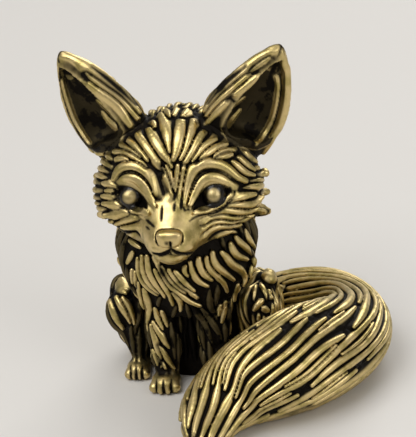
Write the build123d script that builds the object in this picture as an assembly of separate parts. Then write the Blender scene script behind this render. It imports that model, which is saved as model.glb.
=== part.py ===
from build123d import *

import os

# Seated fox ornament in antiqued brass. The fox faces -Y, its left side is +X and it sits on Z = 0, with
# the origin on the ground under its neck. Each piece is a casting of its own. It is soldered to its
# neighbour on a round peg that enters a blind socket, and it is cut to the surface that it sits on.
# Sizes are millimetres and angles are degrees.

# Round bars stand on their lower end
ON_END = (Align.CENTER, Align.CENTER, Align.MIN)

# Seats: every peg and socket takes its fit from these
PEG_CLEARANCE = 0.04
SOCKET_RELIEF = 0.15

# Torso, from the flat seat up to the end of the neck inside the head
TORSO_HEIGHT = 16.6
SEAT_WIDTH = 12.4
SEAT_DEPTH = 11.6
SEAT_BACK = 1.8
HIP_HEIGHT = 3.4
HIP_WIDTH = 13.4
HIP_DEPTH = 12.6
HIP_BACK = 1.9
CHEST_HEIGHT = 9.4
CHEST_WIDTH = 10.2
CHEST_DEPTH = 9.8
CHEST_BACK = 0.7
NECK_WIDTH = 8.4
NECK_DEPTH = 8.0
NECK_PEG_DIAMETER = 3.6
NECK_PEG_LENGTH = 3.0

# Head: its centre lies above the neck's end, on the tilted line from nape to nose
HEAD_RISE = 4.0
HEAD_FORWARD = 1.5
HEAD_TILT = 5.0
HEAD_WIDTH = 16.4
CROWN_RISE = 7.5
CHIN_DROP = 5.9
SKULL_BACK = 6.4
MUZZLE_REACH = 8.3

# Cheek tufts: three pointed locks on each cheek
TUFT_LENGTH = 2.1
TUFT_DIAMETER = 2.4
TUFT_TIP_DIAMETER = 0.5
TUFT_REACH = 6.9
TUFT_DROP = 1.5
TUFT_PITCH = 1.6
TUFT_FAN = 14.0
TUFT_SWEEP = 24.0

# Eyes: balls set in almond hollows
EYE_DIAMETER = 2.2
EYE_SPACING = 8.3
EYE_RISE = 0.05
EYE_FORWARD = 4.3
EYE_SLANT = 20.0
EYE_TOE_OUT = 24.0
HOLLOW_WIDTH = 4.1
HOLLOW_HEIGHT = 2.5
HOLLOW_DEPTH = 2.6

# Nose and mouth
NOSE_WIDTH = 2.7
NOSE_TALL = 1.7
NOSE_LENGTH = 2.0
NOSE_DROP = 2.9
MOUTH_DROP = 4.7
MOUTH_WIDTH = 4.4
MOUTH_GAP = 0.3
MOUTH_DEPTH = 0.6

# Ears: leaf-shaped shells, hollow in front, on a solid root
EAR_LENGTH = 11.0
EAR_WIDTH = 8.5
EAR_THICKNESS = 3.8
EAR_WALL = 0.9
EAR_RIM = 0.8
EAR_TUFT = 1.5
EAR_INSET = 2.8
EAR_RISE = 4.0
EAR_BACK = 0.95
EAR_SPLAY = 30.0
EAR_LEAN = 1.0
EAR_TURN = 22.0
EAR_PEG_DIAMETER = 1.8
EAR_PEG_INSET = 1.1
EAR_PEG_LENGTH = 3.3

# Chest ruff: a collar of fur round the neck with a bib over the chest, measured down from the neck's end
RUFF_TOP_RISE = 0.8
RUFF_TOP_WIDTH = 11.6
RUFF_TOP_DEPTH = 11.0
RUFF_DROP = 2.4
RUFF_WIDTH = 14.4
RUFF_DEPTH = 12.6
RUFF_FORWARD = 0.9
BIB_DROP = 6.0
BIB_WIDTH = 12.4
BIB_DEPTH = 8.8
BIB_FORWARD = 2.6
BIB_END_DROP = 9.2
BIB_END_WIDTH = 6.6
BIB_END_DEPTH = 3.4
BIB_END_FORWARD = 4.4

# Front legs
FRONT_LEG_SPACING = 5.0
SHOULDER_HEIGHT = 10.0
SHOULDER_SPACING = 5.2
SHOULDER_FORWARD = 3.4
SHOULDER_DIAMETER = 4.2
WRIST_HEIGHT = 2.0
WRIST_FORWARD = 5.3
WRIST_DIAMETER = 2.9
FRONT_PAW_FORWARD = 6.2
FRONT_PAW_WIDTH = 3.0
FRONT_PAW_LENGTH = 3.8
FRONT_PAW_HEIGHT = 2.2
FRONT_PEG_HEIGHT = 5.4
FRONT_PEG_DIAMETER = 1.6
FRONT_PEG_LENGTH = 3.0

# Hind legs: thigh, knee, shank and paw
THIGH_SPACING = 11.6
THIGH_BACK = 1.6
THIGH_HEIGHT = 4.6
THIGH_WIDTH = 6.0
THIGH_LENGTH = 9.2
THIGH_TALL = 9.0
KNEE_SPACING = 13.5
KNEE_FORWARD = 1.7
KNEE_HEIGHT = 6.5
KNEE_WIDTH = 4.4
KNEE_LENGTH = 4.6
KNEE_TALL = 5.8
KNEE_LEAN = 20.0
ANKLE_SPACING = 11.6
ANKLE_FORWARD = 2.7
ANKLE_HEIGHT = 2.0
ANKLE_DIAMETER = 2.0
SHANK_DIAMETER = 3.2
HIND_PAW_FORWARD = 3.4
HIND_PAW_WIDTH = 2.5
HIND_PAW_LENGTH = 3.6
HIND_PAW_HEIGHT = 2.2
HIND_PEG_DIAMETER = 2.0
HIND_PEG_LENGTH = 3.2

# Toes: four rounded lumps along the front of each paw
TOE_COUNT = 4
TOE_WIDTH = 1.0
TOE_LENGTH = 1.7
TOE_HEIGHT = 1.5

# Feet: how far the rounded paws and tail are cut flat where they stand
PAW_FLAT = 0.15
TAIL_FLAT = 0.35

# Tail: a brush that leaves the rump, turns round the left hip and lies in front of the paws
TAIL_ROOT = (2.2, 5.9)
TAIL_ROOT_DIAMETER = 5.0
TAIL_ROOT_RISE = 0.8
TAIL_BACK = (9.2, 7.2)
TAIL_BACK_DIAMETER = 6.4
TAIL_BEND = (14.4, 4.8)
TAIL_BEND_DIAMETER = 6.9
TAIL_SIDE = (16.0, 0.0)
TAIL_SIDE_DIAMETER = 7.8
TAIL_FLANK = (14.1, -5.9)
TAIL_FLANK_DIAMETER = 9.6
TAIL_BRUSH = (9.8, -10.4)
TAIL_BRUSH_DIAMETER = 9.8
TAIL_FRONT = (5.2, -13.8)
TAIL_FRONT_DIAMETER = 7.5
TAIL_END = (3.2, -18.4)
TAIL_END_DIAMETER = 4.7
TAIL_TIP = (2.0, -22.6)
TAIL_TIP_RISE = 0.5
TAIL_PEG_SHARE = 0.12
TAIL_PEG_DIAMETER = 2.4
TAIL_PEG_LENGTH = 4.2


def ellipsoid(centre, sizes, turn=(0, 0, 0)):
    """A solid ellipsoid with the full widths in sizes, turned about its own centre."""
    return Pos(*centre) * Rot(*turn) * scale(Sphere(0.5), by=sizes)


def peg(start, direction, diameter, length):
    """A round peg from a point, along a direction."""
    bar = Cylinder(diameter / 2, length, align=ON_END)
    return Plane(origin=start, z_dir=direction) * bar


def socket(start, direction, diameter, length):
    """The blind hole that a peg of that size enters, with its clearance and relief."""
    return peg(start, direction, diameter + 2 * PEG_CLEARANCE, length + SOCKET_RELIEF)


def taper(start, end, start_diameter, end_diameter):
    """A tapered round bar between two points."""
    run = Vector(*end) - Vector(*start)
    bar = Cone(start_diameter / 2, end_diameter / 2, run.length, align=ON_END)
    return Plane(origin=start, z_dir=run) * bar


def ball(centre, diameter):
    return Pos(*centre) * Sphere(diameter / 2)


def level_oval(height, centre_y, width, depth):
    """A level oval, one section of an upright loft."""
    return Pos(0, centre_y, height) * Ellipse(width / 2, depth / 2)


def above_ground(shape):
    """The part of a shape that stands above the ground, which leaves it a flat foot."""
    size = 200
    return shape & Box(size, size, size, align=ON_END)


def mirrored(shape):
    """The same shape on the fox's right side."""
    return mirror(shape, about=Plane.YZ)


def torso_form():
    return loft(
        [
            level_oval(0, SEAT_BACK, SEAT_WIDTH, SEAT_DEPTH),
            level_oval(HIP_HEIGHT, HIP_BACK, HIP_WIDTH, HIP_DEPTH),
            level_oval(CHEST_HEIGHT, CHEST_BACK, CHEST_WIDTH, CHEST_DEPTH),
            level_oval(TORSO_HEIGHT, 0, NECK_WIDTH, NECK_DEPTH),
        ]
    )


def head_section(forward, half_width, top, bottom, widest):
    """One upright section across the head, a smooth closed outline with a top, two cheeks and a chin."""
    temple_out_share, temple_up_share = 0.62, 0.78
    jowl_out_share, jowl_down_share = 0.60, 0.76
    outline = [
        (0, top),
        (temple_out_share * half_width, widest + temple_up_share * (top - widest)),
        (half_width, widest),
        (jowl_out_share * half_width, widest - jowl_down_share * (widest - bottom)),
        (0, bottom),
    ]
    ring = outline + [(-x, z) for x, z in reversed(outline[1:-1])]
    return make_face(Spline(*[(x, -forward, z) for x, z in ring], periodic=True))


def skull_form():
    """Skull, cheeks and muzzle about the head's own centre, with the nose along -Y."""
    # Each row: forward and half-width shares, then top, bottom and widest height as shares of crown and chin
    rows = [
        (-1.00, 0.30, 0.45, -0.05, 0.20),
        (-0.82, 0.66, 0.80, -0.45, 0.05),
        (-0.35, 0.92, 0.99, -0.80, -0.15),
        (0.10, 1.00, 0.98, -0.82, -0.32),
        (0.42, 0.88, 0.78, -0.88, -0.36),
        (0.60, 0.58, 0.42, -0.95, -0.44),
        (0.76, 0.36, 0.02, -1.00, -0.58),
        (0.92, 0.27, -0.24, -0.98, -0.60),
        (1.00, 0.20, -0.34, -0.90, -0.60),
    ]
    sections = []
    for forward, width, top, bottom, widest in rows:
        reach = MUZZLE_REACH if forward > 0 else SKULL_BACK
        rise = CROWN_RISE if top > 0 else CHIN_DROP
        lift = CROWN_RISE if widest > 0 else CHIN_DROP
        half_width = width * HEAD_WIDTH / 2
        heights = (top * rise, bottom * CHIN_DROP, widest * lift)
        sections.append(head_section(forward * reach, half_width, *heights))
    nape_reach_share, nape_rise_share = 1.06, 0.2
    snout_reach_share, snout_drop_share = 1.05, 0.58
    nape = Vertex(0, nape_reach_share * SKULL_BACK, nape_rise_share * CROWN_RISE)
    snout = Vertex(0, -snout_reach_share * MUZZLE_REACH, -snout_drop_share * CHIN_DROP)
    return loft([nape] + sections + [snout])


def cheek_tufts(side):
    """Pointed locks that fan out from a cheek and sweep back."""
    tufts = []
    for step in (-1, 0, 1):
        root = Pos(side * TUFT_REACH, 0, step * TUFT_PITCH - TUFT_DROP)
        lock = Cone(TUFT_DIAMETER / 2, TUFT_TIP_DIAMETER / 2, TUFT_LENGTH, align=ON_END)
        tufts.append(root * Rot(0, 0, side * TUFT_SWEEP) * Rot(0, side * (90 - step * TUFT_FAN), 0) * lock)
    return tufts


def head_form():
    nose = ellipsoid((0, -MUZZLE_REACH, -NOSE_DROP), (NOSE_WIDTH, NOSE_LENGTH, NOSE_TALL))
    return skull_form() + nose + cheek_tufts(1) + cheek_tufts(-1)


def eye_centre(side):
    return (side * EYE_SPACING / 2, -EYE_FORWARD, EYE_RISE)


def eyeball(side):
    """The ball of an eye, turned so that its surface seam lies on the side of the nose."""
    seam_turn = 90 + 90 * side
    return Pos(*eye_centre(side)) * Rot(0, 0, seam_turn) * Sphere(EYE_DIAMETER / 2)


def eye_hollow(side):
    """The almond hollow in front of an eyeball, slanted down towards the nose."""
    x, y, z = eye_centre(side)
    sizes = (HOLLOW_WIDTH, HOLLOW_DEPTH, HOLLOW_HEIGHT)
    return ellipsoid((x, y - EYE_DIAMETER / 2, z), sizes, (0, -side * EYE_SLANT, side * EYE_TOE_OUT))


def mouth_line():
    """The slit between upper lip and chin."""
    return Pos(0, MOUTH_DEPTH - MUZZLE_REACH, -MOUTH_DROP) * Cylinder(MOUTH_WIDTH / 2, MOUTH_GAP)


def on_head(shape):
    """Moves a shape from the head's own frame to its place on the neck, nose tilted up."""
    return Pos(0, -HEAD_FORWARD, TORSO_HEIGHT + HEAD_RISE) * Rot(-HEAD_TILT, 0, 0) * shape


def on_ear(side, shape):
    """Moves a shape from an ear's own frame to its place on the head, splayed out and turned outwards."""
    root = Pos(side * (HEAD_WIDTH / 2 - EAR_INSET), EAR_BACK, EAR_RISE)
    return on_head(root * Rot(EAR_LEAN, side * EAR_SPLAY, 0) * Rot(0, 0, side * EAR_TURN) * shape)


def ear_form(side):
    """An upright leaf about its own axis, hollow on its -Y side, with a thick tufted edge at the crown."""
    # Each row: height share, width share and thickness share
    leaf_rows = [
        (-0.22, 0.50, 0.60),
        (0.00, 0.92, 0.95),
        (0.20, 1.00, 1.00),
        (0.48, 0.90, 0.86),
        (0.78, 0.52, 0.56),
        (0.95, 0.20, 0.26),
    ]
    hollow_rows = [(0.22, 1.00, 1.00), (0.46, 0.92, 0.88), (0.68, 0.68, 0.68)]
    start_share, end_share, front_share = 0.12, 0.90, 0.8
    leaf = []
    for height, width, thickness in leaf_rows:
        oval = Ellipse(width * EAR_WIDTH / 2, thickness * EAR_THICKNESS / 2)
        leaf.append(Pos(0, 0, height * EAR_LENGTH) * oval)
    shift = side * EAR_TUFT / 2
    hollow = [Vertex(shift, -EAR_THICKNESS / 2, start_share * EAR_LENGTH)]
    for height, width, thickness in hollow_rows:
        half_width = width * (EAR_WIDTH - EAR_TUFT) / 2 - EAR_RIM
        half_thickness = thickness * EAR_THICKNESS / 2
        front = front_share * half_thickness
        oval = Ellipse(half_width, front + half_thickness - EAR_WALL)
        hollow.append(Pos(shift, -front, height * EAR_LENGTH) * oval)
    hollow.append(Vertex(shift, -front, end_share * EAR_LENGTH))
    return loft(leaf + [Vertex(0, 0, EAR_LENGTH)]) - loft(hollow)


def ear_peg_line(side):
    """Start, direction and size of an ear's peg, which runs down the ear's axis into the head."""
    start = on_ear(side, Pos(0, 0, EAR_PEG_INSET)).position
    root = on_ear(side, Pos(0, 0, 0)).position
    return start, root - start, EAR_PEG_DIAMETER, EAR_PEG_LENGTH


def ruff_form():
    return loft(
        [
            level_oval(TORSO_HEIGHT - BIB_END_DROP, -BIB_END_FORWARD, BIB_END_WIDTH, BIB_END_DEPTH),
            level_oval(TORSO_HEIGHT - BIB_DROP, -BIB_FORWARD, BIB_WIDTH, BIB_DEPTH),
            level_oval(TORSO_HEIGHT - RUFF_DROP, -RUFF_FORWARD, RUFF_WIDTH, RUFF_DEPTH),
            level_oval(TORSO_HEIGHT + RUFF_TOP_RISE, -RUFF_FORWARD, RUFF_TOP_WIDTH, RUFF_TOP_DEPTH),
        ]
    )


def paw_form(x, forward, width, length, height):
    """A rounded paw with a row of toes along its front."""
    middle = height / 2 - PAW_FLAT
    paw = ellipsoid((x, -forward, middle), (width, length, height))
    pitch = (width - TOE_WIDTH) / (TOE_COUNT - 1)
    for toe in range(TOE_COUNT):
        across = (toe - (TOE_COUNT - 1) / 2) * pitch
        reach = forward + length / 2 - TOE_LENGTH / 2 - across * across / width
        toe_at = (x + across, -reach, TOE_HEIGHT / 2 - PAW_FLAT)
        paw += ellipsoid(toe_at, (TOE_WIDTH, TOE_LENGTH, TOE_HEIGHT))
    return paw


def front_leg_form():
    """The fox's left front leg: upper arm, forearm and paw."""
    shoulder = (SHOULDER_SPACING / 2, -SHOULDER_FORWARD, SHOULDER_HEIGHT)
    wrist = (FRONT_LEG_SPACING / 2, -WRIST_FORWARD, WRIST_HEIGHT)
    arm = taper(shoulder, wrist, SHOULDER_DIAMETER, WRIST_DIAMETER)
    arm += [ball(shoulder, SHOULDER_DIAMETER), ball(wrist, WRIST_DIAMETER)]
    paw = paw_form(
        FRONT_LEG_SPACING / 2, FRONT_PAW_FORWARD, FRONT_PAW_WIDTH, FRONT_PAW_LENGTH, FRONT_PAW_HEIGHT
    )
    return above_ground(arm + paw)


def front_peg_line():
    """Start, direction and size of the left front leg's peg, which runs back into the chest."""
    start = (FRONT_LEG_SPACING / 2, -(SHOULDER_FORWARD + WRIST_FORWARD) / 2, FRONT_PEG_HEIGHT)
    return start, (0, 1, 0), FRONT_PEG_DIAMETER, FRONT_PEG_LENGTH


def hind_leg_form(torso):
    """The fox's left hind leg: thigh, knee, shank and paw, each cut to the torso before they are joined."""
    thigh_at = (THIGH_SPACING / 2, THIGH_BACK, THIGH_HEIGHT)
    knee_at = (KNEE_SPACING / 2, -KNEE_FORWARD, KNEE_HEIGHT)
    ankle_at = (ANKLE_SPACING / 2, -ANKLE_FORWARD, ANKLE_HEIGHT)
    thigh = ellipsoid(thigh_at, (THIGH_WIDTH, THIGH_LENGTH, THIGH_TALL))
    knee = ellipsoid(knee_at, (KNEE_WIDTH, KNEE_LENGTH, KNEE_TALL), (KNEE_LEAN, 0, 0))
    shank = taper(knee_at, ankle_at, SHANK_DIAMETER, ANKLE_DIAMETER) + ball(ankle_at, ANKLE_DIAMETER)
    paw = paw_form(ANKLE_SPACING / 2, HIND_PAW_FORWARD, HIND_PAW_WIDTH, HIND_PAW_LENGTH, HIND_PAW_HEIGHT)
    leg = thigh - torso
    for lump in (knee, shank, paw):
        leg += lump - torso
    return above_ground(leg)


def hind_peg_line():
    """Start, direction and size of the left hind leg's peg, which runs from the thigh into the hip."""
    start = (THIGH_SPACING / 2 + THIGH_WIDTH / 4, THIGH_BACK, THIGH_HEIGHT)
    return start, (-1, 0, 0), HIND_PEG_DIAMETER, HIND_PEG_LENGTH


def tail_stations():
    """Points on the tail's centreline with the brush's diameter at each. It lies on the ground."""
    rows = [
        (TAIL_ROOT, TAIL_ROOT_DIAMETER, TAIL_ROOT_RISE),
        (TAIL_BACK, TAIL_BACK_DIAMETER, 0),
        (TAIL_BEND, TAIL_BEND_DIAMETER, 0),
        (TAIL_SIDE, TAIL_SIDE_DIAMETER, 0),
        (TAIL_FLANK, TAIL_FLANK_DIAMETER, 0),
        (TAIL_BRUSH, TAIL_BRUSH_DIAMETER, 0),
        (TAIL_FRONT, TAIL_FRONT_DIAMETER, 0),
        (TAIL_END, TAIL_END_DIAMETER, 0),
    ]
    return [((x, y, diameter / 2 - TAIL_FLAT + rise), diameter) for (x, y), diameter, rise in rows]


def tail_tip():
    return (*TAIL_TIP, TAIL_TIP_RISE)


def tail_path():
    return Spline(*[point for point, _ in tail_stations()], tail_tip())


def tail_form():
    path = tail_path()
    sections = []
    for point, diameter in tail_stations():
        along = path.tangent_at(path.param_at_point(point))
        across = along.cross(Vector(0, 0, 1))
        sections.append(Plane(origin=point, x_dir=across, z_dir=along) * Circle(diameter / 2))
    return above_ground(loft(sections + [Vertex(*tail_tip())]))


def tail_peg_line():
    """Start, direction and size of the tail's peg, which runs back along the tail's root into the rump."""
    path = tail_path()
    start = path.position_at(TAIL_PEG_SHARE)
    return start, -path.tangent_at(TAIL_PEG_SHARE), TAIL_PEG_DIAMETER, TAIL_PEG_LENGTH


def build():
    torso = torso_form()
    head = on_head(head_form()) - torso
    parts = {}

    # Eyes and ears on the head
    pockets = []
    for name, side in (("left", 1), ("right", -1)):
        eye = on_head(eyeball(side))
        line = ear_peg_line(side)
        parts[f"ear_{name}"] = on_ear(side, ear_form(side)) - head + peg(*line)
        parts[f"eye_{name}"] = eye
        pockets += [on_head(eye_hollow(side)), eye, socket(*line)]
    head = head - pockets

    # Ruff round the neck, under the head
    ruff = ruff_form() - torso - head
    head -= on_head(mouth_line())

    # Legs, the left ones first
    front_leg = front_leg_form() - torso - ruff
    hind_leg = hind_leg_form(torso)
    tail = tail_form() - torso - hind_leg - front_leg

    # Pegs and their sockets
    neck_line = ((0, 0, TORSO_HEIGHT), (0, 0, 1), NECK_PEG_DIAMETER, NECK_PEG_LENGTH)
    head -= socket(*neck_line)
    for line in (front_peg_line(), hind_peg_line()):
        torso -= socket(*line)
        torso -= mirrored(socket(*line))
    torso -= socket(*tail_peg_line())
    torso += peg(*neck_line)
    front_leg += peg(*front_peg_line())
    hind_leg += peg(*hind_peg_line())
    tail += peg(*tail_peg_line())

    parts["torso"] = torso
    parts["head"] = head
    parts["chest_ruff"] = ruff
    parts["front_leg_left"] = front_leg
    parts["front_leg_right"] = mirrored(front_leg)
    parts["hind_leg_left"] = hind_leg
    parts["hind_leg_right"] = mirrored(hind_leg)
    parts["tail"] = tail
    return parts


def main():
    os.makedirs("parts", exist_ok=True)
    for name, shape in build().items():
        export_step(shape, f"parts/{name}.step")


main()
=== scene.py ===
import math

import bpy
import numpy as np
import openvdb as vdb
from mathutils import Matrix, Vector
from mathutils.bvhtree import BVHTree


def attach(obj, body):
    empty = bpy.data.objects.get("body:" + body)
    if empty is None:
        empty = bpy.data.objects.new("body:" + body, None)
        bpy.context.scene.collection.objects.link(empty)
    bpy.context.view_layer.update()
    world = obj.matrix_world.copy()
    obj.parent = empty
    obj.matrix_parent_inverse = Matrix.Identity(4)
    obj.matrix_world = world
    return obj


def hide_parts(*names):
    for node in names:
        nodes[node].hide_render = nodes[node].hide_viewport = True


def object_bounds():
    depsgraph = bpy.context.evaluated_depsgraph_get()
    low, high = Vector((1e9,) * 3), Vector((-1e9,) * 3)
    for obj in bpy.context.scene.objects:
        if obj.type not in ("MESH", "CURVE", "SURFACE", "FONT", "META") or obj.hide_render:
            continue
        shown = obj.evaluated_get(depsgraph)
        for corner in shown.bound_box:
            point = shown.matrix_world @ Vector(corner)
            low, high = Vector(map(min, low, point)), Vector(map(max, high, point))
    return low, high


# Seated fox ornament in antiqued brass. The CAD solids are joined into one distance field, the fur and the
# face are sculpted on it, and the result is parted again into one mesh for each CAD node.
# Lengths are millimetres until the meshes are written, which are metres.

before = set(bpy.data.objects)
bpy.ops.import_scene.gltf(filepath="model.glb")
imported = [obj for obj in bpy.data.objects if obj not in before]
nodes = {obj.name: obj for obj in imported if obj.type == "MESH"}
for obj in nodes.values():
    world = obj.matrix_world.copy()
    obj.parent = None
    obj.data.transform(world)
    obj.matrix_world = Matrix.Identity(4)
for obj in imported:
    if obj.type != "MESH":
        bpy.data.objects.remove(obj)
cad_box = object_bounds()

MM = 0.001
VOXEL = 0.12
BAND_MM = 1.5
MARGIN_MM = 1.3

# Photograph's frame and the camera fitted to it
PHOTO_WIDTH, PHOTO_HEIGHT = 416, 437
AZIMUTH, ELEVATION, ROLL = math.radians(11.0), math.radians(25.0), math.radians(5.8)
TARGET = np.array((2.2, 0.0, 15.8))
DISTANCE = 220.0
PIXELS_PER_MM = 10.0

FLATNESS = math.cos(ELEVATION)
BACK = np.array((math.sin(AZIMUTH) * FLATNESS, -math.cos(AZIMUTH) * FLATNESS, math.sin(ELEVATION)))
LEVEL = np.array((math.cos(AZIMUTH), math.sin(AZIMUTH), 0.0))
UPRIGHT = np.cross(BACK, LEVEL)
RIGHT = math.cos(ROLL) * LEVEL - math.sin(ROLL) * UPRIGHT
UP = math.sin(ROLL) * LEVEL + math.cos(ROLL) * UPRIGHT
EYE_POINT = TARGET + DISTANCE * BACK


def pixel_ray(x, y):
    """Direction from the camera through a pixel of the photograph's frame."""
    across = (x - PHOTO_WIDTH / 2) / PIXELS_PER_MM
    down = (y - PHOTO_HEIGHT / 2) / PIXELS_PER_MM
    ray = across * RIGHT - down * UP - DISTANCE * BACK
    return ray / np.linalg.norm(ray)


# Fields on one regular grid
box_low = np.array(cad_box[0]) / MM - MARGIN_MM
box_high = np.array(cad_box[1]) / MM + MARGIN_MM
CELL_LOW = np.floor(box_low / VOXEL).astype(int)
SHAPE = tuple(np.ceil(box_high / VOXEL).astype(int) - CELL_LOW + 1)
ORIGIN = CELL_LOW * VOXEL
GRID = np.ix_(*[ORIGIN[i] + VOXEL * np.arange(SHAPE[i], dtype=np.float32) for i in range(3)])


def mesh_arrays(obj):
    """Points in millimetres and triangles of a Blender mesh."""
    mesh = obj.data
    mesh.calc_loop_triangles()
    points = np.empty(len(mesh.vertices) * 3, np.float32)
    mesh.vertices.foreach_get("co", points)
    triangles = np.empty(len(mesh.loop_triangles) * 3, np.int32)
    mesh.loop_triangles.foreach_get("vertices", triangles)
    return points.reshape(-1, 3) / MM, triangles.reshape(-1, 3)


def field_of(points, triangles=None, quads=None):
    """Signed distance field of a closed mesh, negative inside."""
    faces = {"triangles": triangles} if quads is None else {"quads": quads}
    transform = vdb.createLinearTransform(voxelSize=VOXEL)
    grid = vdb.FloatGrid.createLevelSetFromPolygons(
        points, transform=transform, halfWidth=BAND_MM / VOXEL, **faces
    )
    field = np.empty(SHAPE, np.float32)
    grid.copyToArray(field, ijk=tuple(int(c) for c in CELL_LOW))
    return field


def surface_of(field, level=0.0):
    """Points and quads of a field's surface, facing outwards."""
    grid = vdb.FloatGrid(BAND_MM)
    grid.transform = vdb.createLinearTransform(voxelSize=VOXEL)
    grid.copyFromArray(np.ascontiguousarray(field), ijk=tuple(int(c) for c in CELL_LOW))
    points, quads = grid.convertToQuads(isovalue=level)
    corners = points[quads.astype(np.int64)].astype(np.float64)
    volume = (corners[:, 0] * np.cross(corners[:, 1], corners[:, 2])).sum()
    if volume < 0:
        quads = quads[:, ::-1]
    return points, quads


def sample(field, points, cell_size=VOXEL, origin=ORIGIN):
    """Field values at points, linear between the cells."""
    place = (np.asarray(points, float) - origin) / cell_size
    place = np.clip(place, 0, np.array(field.shape) - 1.001)
    cell = place.astype(int)
    part = place - cell
    total = 0.0
    for corner in range(8):
        step = np.array((corner & 1, corner >> 1 & 1, corner >> 2 & 1))
        weight = np.prod(np.where(step, part, 1 - part), axis=-1)
        at = cell + step
        total = total + weight * field[at[..., 0], at[..., 1], at[..., 2]]
    return total


NORMAL_STEP = 0.3
STEP_AROUND = NORMAL_STEP * np.vstack((np.eye(3), -np.eye(3)))


def outward(field, point):
    """Unit normal of a field at a point."""
    values = sample(field, np.asarray(point) + STEP_AROUND)
    slope = values[:3] - values[3:]
    return slope / max(np.linalg.norm(slope), 1e-9)


def local_box(low, high):
    """Slices and cell coordinates of the grid between two corners."""
    first = np.clip(np.floor((low - ORIGIN) / VOXEL).astype(int), 0, np.array(SHAPE) - 1)
    last = np.clip(np.ceil((high - ORIGIN) / VOXEL).astype(int) + 1, 1, np.array(SHAPE))
    slices = tuple(slice(a, b) for a, b in zip(first, last))
    axes = [ORIGIN[i] + VOXEL * np.arange(first[i], last[i], dtype=np.float32) for i in range(3)]
    return slices, np.ix_(*axes)


def ball_field(cells, centre, radius=0.0):
    """Distance of cells from a ball, or from a point."""
    x, y, z = cells
    return np.sqrt((x - centre[0]) ** 2 + (y - centre[1]) ** 2 + (z - centre[2]) ** 2) - radius


def fade(values, start, width):
    """0 up to start and 1 from start plus width on, or the other way round where the width is negative."""
    return np.clip((values - start) / width, 0, 1)


def smooth_min(a, b, width):
    """Lesser of two fields, rounded where they are about the same."""
    share = np.clip(0.5 + 0.5 * (a - b) / width, 0, 1)
    return a * (1 - share) + b * share - width * share * (1 - share)


def box_blur(field, reach):
    """Field smoothed by a box filter along each axis."""
    size = 2 * reach + 1
    for axis in range(3):
        widths = [(0, 0)] * 3
        widths[axis] = (reach + 1, reach)
        sums = np.cumsum(np.pad(field, widths, mode="edge"), axis=axis, dtype=np.float64)
        sums = sums.swapaxes(0, axis)
        field = ((sums[size:] - sums[:-size]) / size).astype(np.float32).swapaxes(0, axis)
    return field


POOL = 3
POOL_CELL = VOXEL * POOL
POOL_ORIGIN = ORIGIN + VOXEL * (POOL - 1) / 2


def crowding(field, radius_mm):
    """Share of solid round each cell of a coarser grid."""
    counts = [count // POOL for count in SHAPE]
    trimmed = field[tuple(slice(count * POOL) for count in counts)]
    solid = np.clip(0.5 - trimmed / (2 * VOXEL), 0, 1)
    blocks = solid.reshape(counts[0], POOL, counts[1], POOL, counts[2], POOL)
    pooled = blocks.mean((1, 3, 5)).astype(np.float32)
    reach = max(1, round(radius_mm / VOXEL / POOL))
    return box_blur(box_blur(pooled, reach), reach)


def unpooled(field):
    """Values of the coarser grid on the full one."""
    for axis in range(3):
        field = field.repeat(POOL, axis=axis)
    missing = [(0, count - size) for count, size in zip(SHAPE, field.shape)]
    return np.pad(field, missing, mode="edge")


# Union of the CAD solids, with the gaps round pegs and seams closed and the hips' tops fuller
CLOSE_MM = 0.1
HIP_LUMPS = {"hind_leg_right": np.array((-7.3, 0.2, 8.2)), "hind_leg_left": np.array((7.5, 0.2, 8.6))}
HIP_RADIUS = 1.3
HIP_BLEND = 1.0
node_fields = {}
union = np.full(SHAPE, BAND_MM, np.float32)
for name, obj in nodes.items():
    field = field_of(*mesh_arrays(obj))
    if name in HIP_LUMPS:
        centre = HIP_LUMPS[name]
        slices, cells = local_box(centre - 2 * HIP_RADIUS, centre + 2 * HIP_RADIUS)
        field[slices] = smooth_min(field[slices], ball_field(cells, centre, HIP_RADIUS), HIP_BLEND)
    node_fields[name] = field.astype(np.float16)
    np.minimum(union, field, out=union)
hull_points, hull_quads = surface_of(union, CLOSE_MM)
base = field_of(hull_points, quads=hull_quads) + CLOSE_MM
hull_points, hull_quads = surface_of(base)
hull = BVHTree.FromPolygons(hull_points.tolist(), hull_quads.tolist())

# Nearest node of each point on the hull
NEAR_NODE = 0.3
EAR_NODES = ("ear_left", "ear_right")
node_names = list(nodes)
hull_nearest = np.argmin([sample(node_fields[name], hull_points) for name in node_names], axis=0)

# Head's own frame, as the CAD places it, tilted in degrees
SIDES = (1, -1)
HEAD_CENTRE = np.array((0.0, -1.5, 20.6))
HEAD_TILT = 5.0


def on_head(x, y, z):
    """A point of the head's own frame in the shared frame."""
    cosine = math.cos(math.radians(HEAD_TILT))
    sine = math.sin(math.radians(HEAD_TILT))
    return HEAD_CENTRE + np.array((x, cosine * y + sine * z, cosine * z - sine * y))


def turn(axis, degrees):
    """Rotation matrix about one axis."""
    return np.array(Matrix.Rotation(math.radians(degrees), 3, axis))


NOSE = on_head(0.0, -8.3, -2.9)
EYE_OUT = 4.15
EYE_HEIGHT = 0.05
EYE_CENTRES = [on_head(side * EYE_OUT, -4.3, EYE_HEIGHT) for side in SIDES]
EYE_SLANT = 20.0
EYE_TWIST = 24.0
HEAD_TURN = turn("X", -HEAD_TILT)
EYE_TURNS = {side: HEAD_TURN @ turn("Y", side * -EYE_SLANT) @ turn("Z", side * EYE_TWIST) for side in SIDES}

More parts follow.
